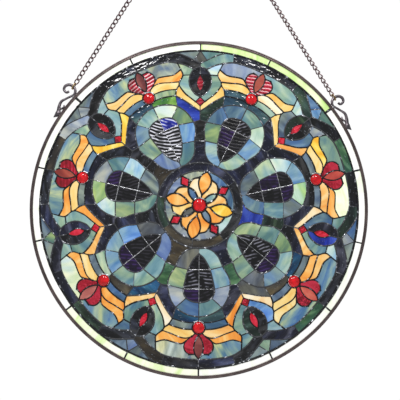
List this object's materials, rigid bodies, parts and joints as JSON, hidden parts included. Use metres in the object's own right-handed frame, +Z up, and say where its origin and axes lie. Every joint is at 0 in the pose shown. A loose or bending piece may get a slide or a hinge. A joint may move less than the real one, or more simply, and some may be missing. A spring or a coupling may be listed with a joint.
{
  "type": "round window panel",
  "caption": "Round stained-glass panel with a sevenfold rosette, metal rim and two scroll hooks, hung by chains that meet in a ring.",
  "frame": {"origin": "top of the hanging ring's eye, where it bears on the ceiling hook", "axes": "+Z up, +Y out of the back of the panel, so the front faces -Y; the panel lies in the XZ plane with its centre 0.613 m below the origin"},
  "size_m": [0.6082, 0.0103, 0.9206],
  "materials": {
    "bronze_metal": "dark bronze patina, satin",
    "chain_metal": "antique bronze, satin",
    "solder": "lead-tin solder with black patina, silvery highlights",
    "cream_glass": "opalescent, cream with pale green",
    "dark_glass": "near black, navy and bottle green",
    "dark_ripple_glass": "dark plum and blue ripple glass",
    "sea_green_glass": "streaky opalescent, blue-green",
    "steel_blue_glass": "streaky, steel blue",
    "grey_blue_glass": "streaky opalescent, grey-blue",
    "amber_glass": "streaky amber",
    "ruby_glass": "polished ruby"
  },
  "bodies": {
    "root": {"arch_bands": "dark_glass", "border_glass": "cream_glass", "chain_left": "chain_metal", "chain_right": "chain_metal", "eye_1": "amber_glass", "eye_2": "amber_glass", "eye_3": "amber_glass", "eye_4": "amber_glass", "eye_5": "amber_glass", "eye_6": "amber_glass", "eye_7": "amber_glass", "gusset_1": "steel_blue_glass", "gusset_2": "steel_blue_glass", "gusset_3": "steel_blue_glass", "gusset_4": "steel_blue_glass", "gusset_5": "steel_blue_glass", "gusset_6": "steel_blue_glass", "gusset_7": "steel_blue_glass", "hanging_ring": "chain_metal", "hook_left": "bronze_metal", "hook_right": "bronze_metal", "jewel_1": "ruby_glass", "jewel_2": "ruby_glass", "jewel_3": "ruby_glass", "jewel_4": "ruby_glass", "jewel_5": "ruby_glass", "jewel_6": "ruby_glass", "jewel_7": "ruby_glass", "jewel_centre": "ruby_glass", "lobe_field_1": "sea_green_glass", "lobe_field_2": "sea_green_glass", "lobe_field_3": "sea_green_glass", "lobe_field_4": "sea_green_glass", "lobe_field_5": "sea_green_glass", "lobe_field_6": "sea_green_glass", "lobe_field_7": "sea_green_glass", "medallion_flower": "amber_glass", "medallion_ground_1": "grey_blue_glass", "medallion_ground_2": "grey_blue_glass", "medallion_ground_3": "grey_blue_glass", "medallion_ground_4": "grey_blue_glass", "medallion_ring_and_spacers": "dark_glass", "petal_drop_1": "dark_ripple_glass", "petal_drop_2": "dark_ripple_glass", "petal_drop_3": "dark_ripple_glass", "petal_drop_4": "dark_ripple_glass", "petal_drop_5": "dark_ripple_glass", "petal_drop_6": "dark_ripple_glass", "petal_drop_7": "dark_ripple_glass", "petal_tiles_1": "sea_green_glass", "petal_tiles_2": "sea_green_glass", "petal_tiles_3": "sea_green_glass", "petal_tiles_4": "sea_green_glass", "petal_tiles_5": "sea_green_glass", "petal_tiles_6": "sea_green_glass", "petal_tiles_7": "sea_green_glass", "rim": "bronze_metal", "scallop_bands": "dark_glass", "solder_lines": "solder"}
  },
  "joints": []
}
